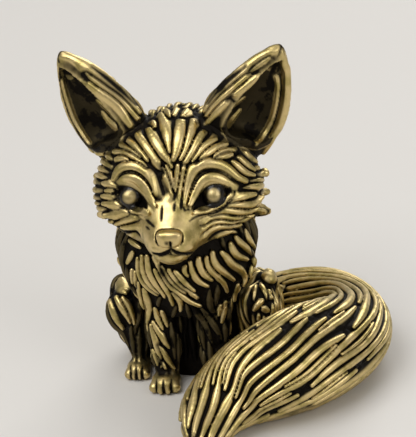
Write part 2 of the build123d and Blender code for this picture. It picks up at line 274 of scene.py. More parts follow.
# Ears' hollows in the ears' own frames
EAR_LEAN = 1.0
EAR_SPLAY = 30.0
EAR_TWIST = 22.0
EAR_ROOTS = {side: on_head(side * 5.4, 0.95, 4.0) for side in SIDES}
EAR_LEANING = HEAD_TURN @ turn("X", EAR_LEAN)
EAR_TURNS = {side: EAR_LEANING @ turn("Y", side * EAR_SPLAY) @ turn("Z", side * EAR_TWIST) for side in SIDES}
HOLLOW_HEIGHTS = (0.3, 1.3, 2.4, 5.1, 7.5, 9.9)
HOLLOW_HALF_WIDTHS = (1.6, 2.7, 2.75, 2.4, 1.6, 0.2)
HOLLOW_DEPTHS = (1.6, 2.8, 2.65, 2.1, 1.4, 0.3)
HOLLOW_FRONTS = (1.7, 1.7, 1.5, 1.35, 1.05, 1.05)
HOLLOW_SHIFT = 0.75
HOLLOW_RIM = 0.6
RIM_LIMIT = 1.22
WALL_LIMIT = 1.5
HOLLOW_FADE = 0.15


def in_ear_hollow(points):
    """How far inside an ear's hollow points are: 1 in it, 0 outside."""
    points = np.atleast_2d(points)
    best = np.zeros(len(points))
    for side in SIDES:
        local = (points - EAR_ROOTS[side]) @ EAR_TURNS[side]
        rows = (HOLLOW_HALF_WIDTHS, HOLLOW_FRONTS, HOLLOW_DEPTHS)
        half, front, deep = [np.interp(local[:, 2], HOLLOW_HEIGHTS, row) for row in rows]
        reach = ((local[:, 0] - side * HOLLOW_SHIFT) / half) ** 2 + ((local[:, 1] + front) / deep) ** 2
        inside = (local[:, 2] > HOLLOW_HEIGHTS[0]) & (local[:, 2] < HOLLOW_HEIGHTS[-1])
        limit = np.where(local[:, 1] > -HOLLOW_RIM * front, WALL_LIMIT, RIM_LIMIT)
        best = np.maximum(best, np.where(inside, fade(limit - reach, 0, HOLLOW_FADE), 0))
    return best


# How far the base is pulled in under the fur. Here and below, a fade is a start and a width
FUR_DEPTH = 0.45
EAR_DEPTH = 0.25
MUZZLE_FADE = (3.0, 2.0)
EYES_FADE = (1.9, 0.8)
PAWS_FADE = (0.4, 2.4)
PAWS_LEAST = 0.1
BULK_MM = 0.7
BULK_FADE = (0.25, 0.15)
SOFT_CELLS = 2
inset = np.full(SHAPE, FUR_DEPTH, np.float32)
for name in EAR_NODES:
    cells = np.argwhere(node_fields[name] < NEAR_NODE)
    inset[tuple(cells.T)] = EAR_DEPTH * (1 - in_ear_hollow(ORIGIN + VOXEL * cells))
inset *= fade(ball_field(GRID, NOSE), *MUZZLE_FADE)
for centre in EYE_CENTRES:
    inset *= fade(ball_field(GRID, centre), *EYES_FADE)
inset *= np.maximum(fade(GRID[2], *PAWS_FADE), PAWS_LEAST)
bulk = crowding(base, BULK_MM)
inset *= fade(unpooled(bulk), *BULK_FADE)
inset = box_blur(inset, SOFT_CELLS)

# Fields of the nearest strand, the second nearest, thin strands' feet and cuts, and marks of strands that get
# painted shade
FAR = 1.0
PAD = 0.6
strands, runners_up, footing, cuts = [np.full(SHAPE, FAR, np.float32) for _ in range(4)]
shaded_strands = np.zeros(SHAPE, np.uint8)


def add_segment(field, corner, a, b, radius_a, radius_b, bed=None):
    """Lays one tapered round segment into a field that starts at a corner cell of the grid, no deeper than
    its bed, which is a point and a normal."""
    reach = max(radius_a, radius_b) + PAD
    slices, (x, y, z) = local_box(np.minimum(a, b) - reach, np.maximum(a, b) + reach)
    run = b - a
    px, py, pz = x - a[0], y - a[1], z - a[2]
    share = np.clip((px * run[0] + py * run[1] + pz * run[2]) / max(run @ run, 1e-9), 0, 1)
    gap = np.sqrt((px - share * run[0]) ** 2 + (py - share * run[1]) ** 2 + (pz - share * run[2]) ** 2)
    gap -= radius_a + share * (radius_b - radius_a)
    if bed is not None:
        point, normal = bed
        below = (point[0] - x) * normal[0] + (point[1] - y) * normal[1] + (point[2] - z) * normal[2]
        gap = np.maximum(gap, below)
    view = field[tuple(slice(s.start - c, s.stop - c) for s, c in zip(slices, corner))]
    np.minimum(view, gap, out=view)


def chain_field(points, radii, beds=None):
    """Slices of the grid round a chain of segments, and the chain's distance field there."""
    reach = radii.max() + PAD
    slices, _ = local_box(points.min(0) - reach, points.max(0) + reach)
    corner = [s.start for s in slices]
    field = np.full([s.stop - s.start for s in slices], FAR, np.float32)
    for i in range(len(points) - 1):
        add_segment(field, corner, points[i], points[i + 1], radii[i], radii[i + 1], beds and beds[i])
    return slices, field


def smooth_path(points, spacing):
    """Evenly spaced points on a smooth curve through the given ones."""
    points = np.asarray(points, float)
    if len(points) == 2:
        points = np.array((points[0], points.mean(0), points[1]))
    ends = np.vstack((2 * points[0] - points[1], points, 2 * points[-1] - points[-2]))
    curve = []
    for i in range(1, len(ends) - 2):
        p0, p1, p2, p3 = ends[i - 1 : i + 3]
        count = max(2, int(np.linalg.norm(p2 - p1) / spacing * 2))
        for t in np.linspace(0, 1, count, endpoint=False):
            slope = (p2 - p0) * t
            bend = (2 * p0 - 5 * p1 + 4 * p2 - p3) * t**2
            twist = (3 * p1 - p0 - 3 * p2 + p3) * t**3
            curve.append(0.5 * (2 * p1 + slope + bend + twist))
    curve.append(points[-1])
    curve = np.array(curve)
    lengths = np.concatenate(([0], np.cumsum(np.linalg.norm(np.diff(curve, axis=0), axis=1))))
    count = max(3, int(round(lengths[-1] / spacing)) + 1)
    even = np.linspace(0, lengths[-1], count)
    return np.stack([np.interp(even, lengths, curve[:, i]) for i in range(points.shape[1])], axis=1)


PROUD = 0.08
THIN = 0.36
STRAND_RISE = 0.36
STRAND_BED = 0.5
SLIM_FADE = (0.16, 0.12)
SLIM_FLOOR = 0.3
SLIM_LEAST = 0.5
GROOVE_PX = 1.6
TRACE_PX = 3.5
DEPTH_JUMP = 0.9
LID_SPREAD = 1.35
ROOT_SHARE, TIP_SHARE = 0.25, 0.4
CUT_END, CUT_SWELL = 0.3, 3


def seen_points(pixels, about=None):
    """Points and normals where the rays through a pixel line meet the hull. A ray that jumps keeps the depth
    of the one before it. Near an eye, about is its pixel, and the depth is taken farther from it."""
    points, normals = [], []
    last = normal = None
    for x, y in smooth_path(pixels, TRACE_PX):
        ray = pixel_ray(x, y)
        probe = ray
        if about is not None:
            probe = pixel_ray(*(np.array(about) + LID_SPREAD * (np.array((x, y)) - about)))
        hit, _, _, gap = hull.ray_cast(Vector(EYE_POINT), Vector(probe))
        if hit is None:
            continue
        if last is None or abs(gap - last) < DEPTH_JUMP:
            last = gap
            normal = outward(base, np.array(hit))
        points.append(EYE_POINT + ray * last)
        normals.append(normal)
    return np.array(points), np.array(normals)


def softened(values):
    """Values along a line, each drawn to its neighbours."""
    ends = np.concatenate((values[:1], values, values[-1:]))
    return 0.25 * ends[:-2] + 0.5 * ends[1:-1] + 0.25 * ends[2:]


def slimness(points):
    """Share of its width that a strand keeps: less on the thin tips of tufts, all of it on the ears."""
    kept = np.maximum(fade(sample(bulk, points, POOL_CELL, POOL_ORIGIN), *SLIM_FADE), SLIM_FLOOR)
    ear = np.minimum(*[sample(node_fields[name], points) for name in EAR_NODES])
    return np.where(ear < NEAR_NODE, 1, kept)


def lay_strand(points, normals, half_widths, proud, in_shade=0):
    """Lays a strand that stands proud of the surface, with a round back of the given half-widths, into the
    fields of the nearest and the second nearest strand. It leaves the thinnest tips bare."""
    slim = slimness(points)
    kept = slim > SLIM_LEAST
    if kept.sum() < 2:
        return
    proud = (proud + np.zeros(len(points)))[kept]
    points, normals, half_widths = points[kept], normals[kept], (half_widths * slim)[kept]
    radii = (half_widths**2 + STRAND_RISE**2) / (2 * STRAND_RISE)
    centres = points - normals * (radii - proud)[:, None]
    slices, field = chain_field(centres, radii, list(zip(points - STRAND_BED * normals, normals)))
    first, second = strands[slices], runners_up[slices]
    # Marks the strand's cells for painted shade when in_shade is 1
    shaded_strands[slices][field < first] = in_shade
    np.minimum(second, np.maximum(first, field), out=second)
    np.minimum(first, field, out=first)
    if half_widths.max() < THIN:
        slices, field = chain_field(centres - normals * (FUR_DEPTH - half_widths.max()), radii)
        np.minimum(footing[slices], field, out=footing[slices])


def seen_strand(pixels, width_px, root=0.6, tip=0.35, proud=PROUD, about=None):
    """A strand of fur along a line of the photograph, from root to tip."""
    points, normals = seen_points(pixels, about)
    if len(points) < 2:
        return
    points = softened(points)
    share = np.linspace(0, 1, len(points))
    half_width = (width_px / 2 + GROOVE_PX) / PIXELS_PER_MM
    swell = np.minimum(root + (1 - root) * share / ROOT_SHARE, tip + (1 - tip) * (1 - share) / TIP_SHARE)
    lay_strand(points, normals, half_width * np.minimum(swell, 1), proud)


def seen_groove(pixels, width_px):
    """A fine cut along a line of the photograph."""
    points, _ = seen_points(pixels)
    if len(points) < 2:
        return
    share = np.linspace(0, 1, len(points))
    radii = width_px / 2 / PIXELS_PER_MM * np.minimum(1, CUT_END + CUT_SWELL * np.minimum(share, 1 - share))
    slices, field = chain_field(softened(points), radii)
    np.minimum(cuts[slices], field, out=cuts[slices])


# Strands traced from the photograph, each a line of pixels with its width

FOREHEAD = [
    (9, (136, 133), (143, 143), (150, 153), (157, 163), (164, 174)),
    (10, (148, 128), (153, 138), (160, 150), (168, 160), (171, 168)),
    (4, (152, 120), (155, 127)),
    (9, (160, 112), (163, 120), (166, 130), (168, 142), (169, 153)),
    (12, (181, 120), (180, 132), (178, 143), (175, 155), (172, 161)),
    (8, (194, 120), (191, 132), (187, 145), (184, 153), (180, 160)),
    (9, (203, 132), (198, 140), (193, 150), (188, 158), (183, 165)),
    (6, (217, 138), (208, 143), (202, 148), (197, 155), (192, 162)),
    (7, (228, 143), (218, 146), (210, 151), (203, 157), (196, 164)),
    (5, (235, 149), (227, 149), (219, 153), (213, 158)),
    (6, (233, 153), (224, 155), (215, 159)),
    (7, (127, 139), (133, 145), (140, 152), (148, 161)),
    (5, (119, 143), (124, 147), (132, 151), (141, 158)),
    (5, (112, 151), (122, 151), (131, 155), (140, 161), (147, 168)),
    (5, (114, 159), (121, 157), (128, 160)),
    (5, (165, 108), (170, 116)),
    (5, (176, 107), (173, 115)),
    (5, (185, 103), (180, 108)),
    (5, (188, 108), (183, 115)),
    (5, (160, 165), (165, 175), (170, 186), (172, 195)),
    (5, (166, 165), (170, 176), (173, 190)),
    (5, (178, 165), (177, 178), (175, 192)),
    (5, (184, 165), (182, 178), (180, 195), (181, 208)),
]
CHEEKS = [
    (8, (115, 186), (108, 184), (101, 183)),
    (4, (113, 190), (104, 191)),
    (6, (114, 197), (107, 197), (100, 196)),
    (7, (121, 204), (112, 205), (101, 204)),
    (9, (132, 208), (122, 214), (112, 217), (102, 216)),
    (6, (135, 218), (125, 221), (115, 225), (107, 227)),
    (5, (140, 226), (130, 228), (120, 228)),
    (8, (228, 202), (238, 199), (247, 196), (257, 194)),
    (8, (228, 206), (240, 205), (252, 206), (262, 201), (266, 195)),
    (9, (212, 214), (225, 211), (240, 213), (253, 212), (260, 209)),
    (6, (205, 224), (212, 219), (222, 217), (235, 219), (248, 218), (258, 216)),
    (6, (204, 230), (210, 224), (219, 222), (230, 224), (240, 223), (250, 219)),
    (5, (205, 238), (211, 231), (220, 227), (232, 227), (245, 226), (255, 225)),
    (4, (217, 238), (225, 235), (233, 232)),
    (5, (233, 161), (240, 166), (247, 172), (256, 175)),
    (5, (240, 157), (248, 163), (256, 170)),
    (5, (246, 151), (252, 156), (258, 162)),
]
BROWS = [
    (9, (113, 180), (117, 170), (125, 166.5), (133, 166.5), (142, 170), (149, 177), (152, 186),
     (154, 195)),
    (9, (184, 205), (186, 195), (188, 185), (192, 172), (198, 166), (207, 162.5), (217, 163),
     (225, 166), (232, 171),
     (238, 177), (247, 181)),
]
RIGHT_EYE_PX = (131, 195)
LEFT_EYE_PX = (213, 194)
LIDS = [
    (RIGHT_EYE_PX, 7, (116, 184), (122, 178), (131, 177), (139, 181), (146, 189), (151, 199), (155, 208)),
    (RIGHT_EYE_PX, 5, (118, 196), (123, 203), (133, 208), (145, 212), (154, 217)),
    (LEFT_EYE_PX, 8, (190, 205), (195, 193), (199, 184), (206, 178), (215, 177), (224, 180), (232, 184),
     (243, 187),
     (252, 185)),
    (LEFT_EYE_PX, 5.5, (193, 214), (202, 210), (214, 207), (223, 202), (232, 195)),
]
LIPS = [
    (6, (169, 249), (160, 251), (152, 249)),
    (6, (173, 249), (184, 251), (192, 248)),
    (8, (160, 258), (166, 260), (172, 260.5), (179, 260), (187, 258)),
]
RUFF = [
    (4, (132, 252), (129, 257), (126, 264)),
    (4, (128, 240), (135, 245), (140, 248)),
    (3, (131, 270), (131, 277), (132, 284)),
    (3, (134, 272), (134, 281), (136, 288)),
    (4, (137, 258), (137, 270), (140, 280), (145, 287), (150, 291), (158, 296)),
    (6, (141, 256), (141, 265), (142, 273), (145, 280), (149, 286), (154, 291), (159, 295)),
    (6, (146, 256), (146, 264), (147, 271), (150, 278), (155, 286), (161, 293), (165, 298)),
    (5, (154, 270), (158, 278), (164, 288), (169, 296), (171, 302), (173, 306)),
    (6, (153, 257), (158, 266), (162, 275), (167, 284), (174, 291), (182, 298), (192, 304), (201, 307)),
    (6, (160, 266), (163, 273), (168, 280), (174, 286), (181, 291), (187, 294)),
    (6, (168, 270), (172, 277), (178, 284), (184, 289), (191, 294), (198, 299)),
    (6, (174, 272), (179, 278), (184, 285), (190, 289), (195, 292)),
    (5, (172, 293), (177, 298), (181, 304), (180, 312)),
    (4, (187, 266), (184, 269), (185, 274), (189, 277)),
    (6, (199, 258), (199, 264), (201, 269), (204, 275), (208, 278), (213, 281)),
    (5, (207, 257), (207, 263), (210, 270), (216, 276), (222, 281), (226, 287), (228, 293)),
    (6, (213, 252), (213, 258), (215, 264), (219, 269), (224, 273), (230, 277), (235, 281)),
    (6, (222, 252), (226, 256), (229, 259), (231, 263), (236, 267), (242, 270), (246, 276), (247, 281),
     (245, 287)),
    (6, (231, 243), (234, 250), (238, 256), (244, 258), (249, 260)),
    (5, (236, 236), (242, 243), (247, 247), (252, 252), (255, 258)),
    (5, (246, 230), (250, 238), (255, 246), (257, 252)),
    (4, (252, 250), (256, 258), (258, 268), (257, 278), (256, 288)),
    (4, (254, 262), (253, 275), (253, 287)),
    (4, (239, 285), (237, 292), (235, 302)),
    (5, (190, 262), (191, 270), (195, 278), (201, 284), (209, 287)),
]
LEGS = [
    (4, (226, 302), (226, 309), (224, 317), (222, 323)),
    (3, (221, 306), (219, 316)),
    (4, (137, 283), (138, 292), (140, 302), (143, 310)),
    (8, (143, 290), (145, 298), (147, 307), (147, 315), (146, 323)),
    (5, (154, 309), (157, 317), (160, 324), (163, 330)),
    (4, (161, 312), (164, 320), (168, 327)),
    (6, (150, 325), (152, 334), (155, 343), (157, 351), (160, 359), (161, 368)),
    (5, (152, 322), (156, 330), (161, 336), (165, 343), (170, 348)),
    (4, (157, 345), (162, 352), (166, 358), (171, 364), (175, 369)),
    (4, (157, 357), (161, 364), (166, 369)),
    (4, (152, 350), (155, 358), (158, 366)),
    (12, (120, 274), (122, 283), (126, 293)),
    (7, (108, 300), (110, 308), (113, 316), (118, 324), (123, 330)),
    (6, (115, 296), (121, 306), (127, 316), (131, 324)),
    (6, (122, 297), (128, 306), (132, 315), (135, 325)),
    (14, (271, 270), (271, 280)),
    (10, (270, 290), (273, 298)),
    (6, (263, 300), (258, 305), (253, 311)),
    (5, (263, 307), (266, 311), (270, 311)),
    (5, (280, 285), (286, 291)),
]
EARS = [
    (10, (57, 57), (70, 57), (82, 63), (95, 71), (107, 81), (119, 91), (130, 100), (138, 110),
     (141, 113)),
    (8, (85, 72), (95, 80), (106, 88), (117, 95), (126, 104), (134, 113), (139, 119)),
    (10, (88, 84), (97, 91), (107, 98), (116, 105), (121, 112), (126, 120), (131, 127)),
    (9, (98, 101), (105, 107), (112, 114), (119, 120), (126, 126), (130, 130)),
    (7, (103, 112), (107, 119), (113, 125), (120, 131), (127, 137), (134, 142)),
    (6, (57, 57), (55, 70), (55, 82), (58, 94), (62, 106), (67, 118), (73, 130), (80, 140), (88, 150),
     (96, 158)),
    (6, (62, 80), (65, 92), (69, 104), (73, 115), (78, 125), (84, 135), (90, 143)),
    (9, (280, 50), (270, 52), (258, 59), (247, 67), (237, 75), (228, 83), (218, 92), (210, 101),
     (203, 112)),
    (7, (250, 73), (243, 79), (235, 86), (226, 94), (217, 102), (210, 109), (205, 116)),
    (6, (258, 78), (250, 84), (242, 89), (234, 95), (226, 101)),
    (8, (244, 98), (236, 104), (228, 110), (222, 118), (216, 127), (211, 134)),
    (6, (240, 110), (234, 118), (228, 125), (222, 132), (215, 138)),
    (5, (270, 57), (262, 62), (255, 67), (247, 74)),
    (6, (232, 96), (226, 102), (219, 109), (212, 117), (207, 123)),
    (7, (281, 50), (286, 60), (287, 72), (287, 85), (286, 100), (284, 112), (280, 125), (276, 136),
     (270, 147), (262, 157)),
    (6, (276, 76), (278, 86), (277, 96), (275, 107), (272, 118), (268, 127), (262, 136), (256, 144)),
]
EAR_EDGES = [
    (4, (92, 66.5), (103, 74.5), (113, 83), (122, 91), (131, 99.5), (137, 105)),
    (4, (245, 66.5), (237, 72.5), (228, 80), (220, 88), (212, 97), (207, 104)),
]
GROOVES = [
    (2.8, (115, 182), (122, 173.5), (133, 171.5), (142, 176.5), (150, 187), (154, 197)),
    (2.8, (191, 206), (193, 192), (196, 182), (202, 174), (212, 170.5), (224, 173), (232, 179),
     (242, 186), (251, 188)),
    (2.2, (162, 205), (161, 222)),
    (2.0, (145, 219), (150, 223), (155, 228)),
    (2.0, (145, 226), (150, 230)),
    (2.0, (175, 200), (174, 212)),
    (2.0, (182, 195), (181, 210)),
    (1.8, (189, 222), (194, 217.5), (203, 215), (215, 213), (224, 208), (230, 202), (234, 198)),
    (3.6, (171, 248), (168, 252), (160, 255), (150, 253)),
    (3.6, (171, 248), (175, 252), (185, 254), (194, 252)),
    (2.2, (170, 240), (171, 249)),
]
LID_PROUD = 0.26
BROW_PROUD = 0.2
LIP_PROUD = 0.12
for width, *line in FOREHEAD + CHEEKS + RUFF + LEGS:
    seen_strand(line, width)
for width, *line in BROWS:
    seen_strand(line, width, root=0.5, tip=0.5, proud=BROW_PROUD)
for eye_pixel, width, *line in LIDS:
    seen_strand(line, width, root=0.4, tip=0.4, proud=LID_PROUD, about=eye_pixel)
for width, *line in LIPS:
    seen_strand(line, width, root=0.9, tip=0.5, proud=LIP_PROUD)
for width, *line in EARS:
    seen_strand(line, width, root=0.5, tip=0.5)
for width, *line in EAR_EDGES:
    seen_strand(line, width, root=0.15, tip=0.15)
for width, *line in GROOVES:
    seen_groove(line, width)

# Long locks that wind along the tail. Where it gets thin, every second, fourth or eighth one goes on, wider
rng = np.random.default_rng(7)
TAIL_STEP = 0.5
TAIL_POINTS = [
    (2.2, 5.9, 3.0), (9.2, 7.2, 2.9), (14.4, 4.8, 3.1), (16.0, 0.0, 3.5), (14.1, -5.9, 4.45),
    (9.8, -10.4, 4.55), (5.2, -13.8, 3.4), (3.2, -18.4, 2.0), (2.0, -22.6, 0.5),
]
TAIL_PATH = smooth_path(TAIL_POINTS, TAIL_STEP)
TAIL_LENGTHS = TAIL_STEP * np.arange(len(TAIL_PATH))
TAIL_RUN = np.gradient(TAIL_PATH, axis=0)
TAIL_RUN /= np.linalg.norm(TAIL_RUN, axis=1)[:, None]
TAIL_INNER = np.cross(TAIL_RUN, (0, 0, 1))
TAIL_INNER /= np.linalg.norm(TAIL_INNER, axis=1)[:, None]
TAIL_TOP = np.cross(TAIL_INNER, TAIL_RUN)
TAIL_LOCKS = 28
TAIL_TWIST = math.radians(3.4)
TAIL_MERGE, MOST_MERGES = 0.34, 3
WAVE_SHARE = 0.2
WAVE_LENGTH = (8, 13)
WAVE_PHASE = 6.3
LOCK_JITTER = 0.08
LOCK_BURIED = -0.2
LOCK_LOWEST = 0.7
LOCK_THINNEST = 0.2
LOCK_LENGTH = (16.0, 30.0)
LOCK_SHORTEST = 8
LOCK_ROOT, LOCK_ROOT_MM = 0.4, 2.0
LOCK_TIP, LOCK_TIP_MM = 0.3, 2.5
LOCK_WIDTHS = (0.58, 0.96)
FINE_WIDTHS = (0.3, 0.45)
FINE_GAP = 0.14
LOCK_REACH = np.linspace(0.2, 6.6, 81)


def tail_lock(index, offset, widths, gap):
    """Lays one lock of the tail at its angle round the tail's axis, where it keeps a gap from the others."""
    slot = 2 * math.pi / TAIL_LOCKS
    period = rng.uniform(*WAVE_LENGTH)
    phase = rng.uniform(0, WAVE_PHASE)
    wave = WAVE_SHARE * slot * np.sin(2 * math.pi * TAIL_LENGTHS / period + phase)
    nudge = rng.uniform(-LOCK_JITTER, LOCK_JITTER)
    angles = slot * (index + offset + nudge) + TAIL_TWIST * TAIL_LENGTHS + wave
    rays = np.cos(angles)[:, None] * TAIL_INNER + np.sin(angles)[:, None] * TAIL_TOP
    values = sample(node_fields["tail"], TAIL_PATH[:, None] + rays[:, None] * LOCK_REACH[:, None])
    reach = LOCK_REACH[np.argmax(values > 0, axis=1)]
    points = TAIL_PATH + rays * reach[:, None]
    half = slot * reach / 2
    joined = 2 ** np.clip(np.ceil(np.log2(TAIL_MERGE / half)), 0, MOST_MERGES).astype(int)
    half = softened(softened(np.where(index % joined == 0, joined * half, 0)))
    level = sample(base, points)
    kept = (half > LOCK_THINNEST) & (level > LOCK_BURIED) & (points[:, 2] > LOCK_LOWEST)
    kept &= sample(strands, points) > gap
    line = []
    longest = rng.uniform(*LOCK_LENGTH) / TAIL_STEP
    for place in range(len(points) + 1):
        if place < len(points) and kept[place] and len(line) < longest:
            line.append(place)
            continue
        if len(line) >= LOCK_SHORTEST:
            along = np.arange(len(line)) * TAIL_STEP
            swell = np.minimum(LOCK_ROOT + along / LOCK_ROOT_MM, LOCK_TIP + along[::-1] / LOCK_TIP_MM)
            centres = points[line] - rays[line] * level[line][:, None]
            normals = np.array([outward(base, point) for point in centres])
            half_widths = rng.uniform(*widths) * half[line] * np.clip(swell, 0, 1)
            lay_strand(softened(centres), normals, half_widths, PROUD)
        line = []
        longest = rng.uniform(*LOCK_LENGTH) / TAIL_STEP


for index in range(TAIL_LOCKS):
    tail_lock(index, 0.0, LOCK_WIDTHS, -FAR)
for index in range(TAIL_LOCKS):
    tail_lock(index, 0.5, FINE_WIDTHS, FINE_GAP)


# Fur on the sides that the camera doesn't see, and fur marked for painted shade on the bare places it sees,
# combed along flows
def head_flow(point):
    """Fur leaves the nose and runs back over the head, then down the nape."""
    away = point - NOSE
    return away / np.linalg.norm(away) + np.array((0, 0.2, -0.5 - 0.08 * max(point[1], 0)))


def ruff_flow(point):
    """Fur runs down the chest in waves."""
    sway = 0.35 * math.sin(1.1 * point[0] + 0.7 * point[2])
    return np.array((0.10 * point[0] + sway, 0.05 * point[1], -1.0))


def straight_flow(*run, spread=0.0):
    """A flow with one run everywhere, or one that spreads to the sides."""
    return lambda point: np.array((run[0] + spread * point[0], run[1], run[2]))


# Each piece's flow, and the length and half-width of its strands
LEG_FLOW = straight_flow(0.1, -0.15, -1.0)
HAUNCH_FLOW = straight_flow(0.0, -0.45, -1.0)
FLOWS = {
    "head": (head_flow, 9.0, 0.40),
    "torso": (straight_flow(0.0, 0.25, -1.0, spread=0.12), 10.0, 0.42),
    "chest_ruff": (ruff_flow, 8.0, 0.36),
    "hind_leg_left": (HAUNCH_FLOW, 8.0, 0.40),
    "hind_leg_right": (HAUNCH_FLOW, 8.0, 0.40),
    "front_leg_left": (LEG_FLOW, 5.0, 0.30),
    "front_leg_right": (LEG_FLOW, 5.0, 0.30),
    "ear_left": (straight_flow(0.45, 0.05, 1.0), 10.0, 0.42),
    "ear_right": (straight_flow(-0.45, 0.05, 1.0), 10.0, 0.42),
}
TRACED = [name for name in FLOWS if name not in ("head", "hind_leg_left")]
UNFILLED = ("head", *EAR_NODES)
CROWN = 25.0
HEAD_FACING, PLAIN_FACING = 0.35, -0.2
SEEN_SLACK = 0.3
FUR_LOWEST = 1.7
FUR_FROM_NOSE = 4.6
FUR_FROM_EYES = 2.6
UNDERSIDE = -0.7
GROW_STEP = 0.4
SHARPEST = 0.4
LOOSEST = 0.1
BARE = 0.55
CLOSEST = 0.55
FILL_TRIES = 2500
LONG_SHARE = 0.55
SHORTER_STRANDS = ((0.85, 3.2), (0.6, 2.0))
LENGTH_SPREAD = (0.7, 1.2)
FILL_ROOT, FILL_ROOT_RISE = 0.25, 2.5
FILL_TIP, FILL_TIP_RISE = 0.2, 1.8
END_SINK = 0.3


def strand_gap(point):
    """How far a point is from the strands laid so far."""
    cell = np.clip(np.round((point - ORIGIN) / VOXEL).astype(int), 0, np.array(SHAPE) - 1)
    return strands[cell[0], cell[1], cell[2]]


def furred(point):
    """Whether a point carries fur: it is off the muzzle, eyes, paws, undersides and the ears' insides."""
    return (
        point[2] >= FUR_LOWEST
        and np.linalg.norm(point - NOSE) >= FUR_FROM_NOSE
        and outward(base, point)[2] >= UNDERSIDE
        and min(np.linalg.norm(point - centre) for centre in EYE_CENTRES) >= FUR_FROM_EYES
        and in_ear_hollow(point)[0] == 0
    )


def seen(point, facing):
    """Whether the photograph shows a point of the hull that faces the camera at least so much."""
    ray = point - EYE_POINT
    gap = np.linalg.norm(ray)
    if -(outward(base, point) @ ray) < facing * gap:
        return False
    hit = hull.ray_cast(Vector(EYE_POINT), Vector(ray / gap))
    return hit[0] is not None and hit[3] > gap - SEEN_SLACK


def grow(start, flow, length, need):
    """Points and normals of a strand that follows the flow over the surface, both ways from its start."""
    halves = []
    for way in (-1, 1):
        point = start
        half = []
        for _ in range(int(length / 2 / GROW_STEP)):
            normal = outward(base, point)
            run = flow(point)
            run = run - normal * (run @ normal)
            run = run / max(np.linalg.norm(run), 1e-6)
            point = point + way * run * GROW_STEP
            point = point - outward(base, point) * sample(base, point)
            onward = outward(base, point)
            if onward @ normal < SHARPEST or abs(sample(base, point)) > LOOSEST:
                break
            if strand_gap(point) < need or not furred(point):
                break
            half.append((point, onward))
        halves.append(half)
    line = halves[0][::-1] + [(start, outward(base, start))] + halves[1]
    return np.array([p for p, _ in line]), np.array([n for _, n in line])


def hidden_run(points, normals, facing):
    """The longest run of a strand that the photograph doesn't show."""
    best = run = (0, 0)
    for place, point in enumerate(points):
        run = (place + 1, place + 1) if seen(point, facing) else (run[0], place + 1)
        best = max(best, run, key=lambda ends: ends[1] - ends[0])
    return points[best[0] : best[1]], normals[best[0] : best[1]]


for index, name in enumerate(node_names):
    if name not in FLOWS:
        continue
    flow, length, half_width = FLOWS[name]
    facing = HEAD_FACING if name == "head" else PLAIN_FACING
    places = hull_points[hull_nearest == index].astype(float)
    passes = [(half_width, LONG_SHARE * length)]
    passes += [(share * half_width, least) for share, least in SHORTER_STRANDS]
    for thick, shortest in passes:
        for start in places[rng.permutation(len(places))[:FILL_TRIES]]:
            room = strand_gap(start)
            if room < thick or not furred(start):
                continue
            traced = name in TRACED or start[2] > CROWN
            shown = (room < BARE or traced) and seen(start, facing)
            if shown and (room < BARE or name in UNFILLED):
                continue
            points, normals = grow(start, flow, length * rng.uniform(*LENGTH_SPREAD), CLOSEST * thick)
            if traced and not shown:
                points, normals = hidden_run(points, normals, facing)
            if len(points) * GROW_STEP < shortest:
                continue
            along = np.linspace(0, 1, len(points))
            swell = np.minimum(FILL_ROOT + FILL_ROOT_RISE * along, FILL_TIP + FILL_TIP_RISE * (1 - along))
            swell = np.minimum(swell, 1)
            # Strands on places the camera sees are marked for painted shade
            lay_strand(softened(points), normals, thick * swell, PROUD - END_SINK * (1 - swell), int(shown))

# Strands fill the surface like tiles, with dark grooves where two meet
GROOVE_WIDTH = 0.22
GROOVE_DEPTH = 0.3
GROOVE_REACH = 0.4
TILE_EDGE = 0.5
TILE_POWER = 1.5
TILE_FADE = (0.8, -0.3)
TILE_SHARES = {"head": 0.25, "tail": 0.5, "chest_ruff": 0.85, "torso": 1.0, "ear_left": 0.9, "ear_right": 0.9}
PLAIN_SHARE = 0.6
SHARE_CELLS = 3
STRAND_BLEND = 0.06
STRAND_LIMIT = 0.3
EAR_LIMIT, EAR_REACH = 0.14, 0.6
parting = runners_up - strands
meeting = np.clip(1 - parting / GROOVE_WIDTH, 0, 1)
meeting[strands > GROOVE_REACH] = 0
sunk = np.clip(1 - parting / TILE_EDGE, 0, 1) ** TILE_POWER
sunk *= fade(strands, *TILE_FADE)
share = np.full(SHAPE, PLAIN_SHARE, np.float32)
for name, value in TILE_SHARES.items():
    share[node_fields[name] < NEAR_NODE] = value
share = box_blur(share, SHARE_CELLS)
body = base + inset * (share + (1 - share) * sunk)
strands += GROOVE_DEPTH * meeting**2
sculpt = smooth_min(body, np.minimum(strands, footing), STRAND_BLEND)
del body, parting, sunk, share, footing
outer = np.full(SHAPE, STRAND_LIMIT, np.float32)
for name in EAR_NODES:
    outer[node_fields[name] < EAR_REACH] = EAR_LIMIT
sculpt = np.maximum(sculpt, base - box_blur(outer, SOFT_CELLS))
del outer

# Eyeballs fill their hollows
EYEBALL_RADIUS = 1.3
EYEBALLS = {"eye_left": on_head(4.1, -3.9, 0.3), "eye_right": on_head(-3.8, -3.9, 0.28)}
for name, centre in EYEBALLS.items():
    ball = ball_field(GRID, centre, EYEBALL_RADIUS)
    np.minimum(sculpt, ball, out=sculpt)
    node_fields[name] = np.minimum(node_fields[name], ball).astype(np.float16)

# Nose: a rounded block in a fine moat that fades out below
NOSE_HALF = np.array((1.22, 0.7, 0.82))
NOSE_ASIDE = 0.27
NOSE_BLOCK = on_head(NOSE_ASIDE, -8.6, -2.72)
NOSE_TAPER = 0.16
NOSE_POWER = 3.2
NOSE_REACH = 2.5
MOAT = 0.09
MOAT_FADE = (-0.9, 0.5)
RIM_RISE = (0.01, 0.03)
RIM_FALL = (0.13, -0.04)


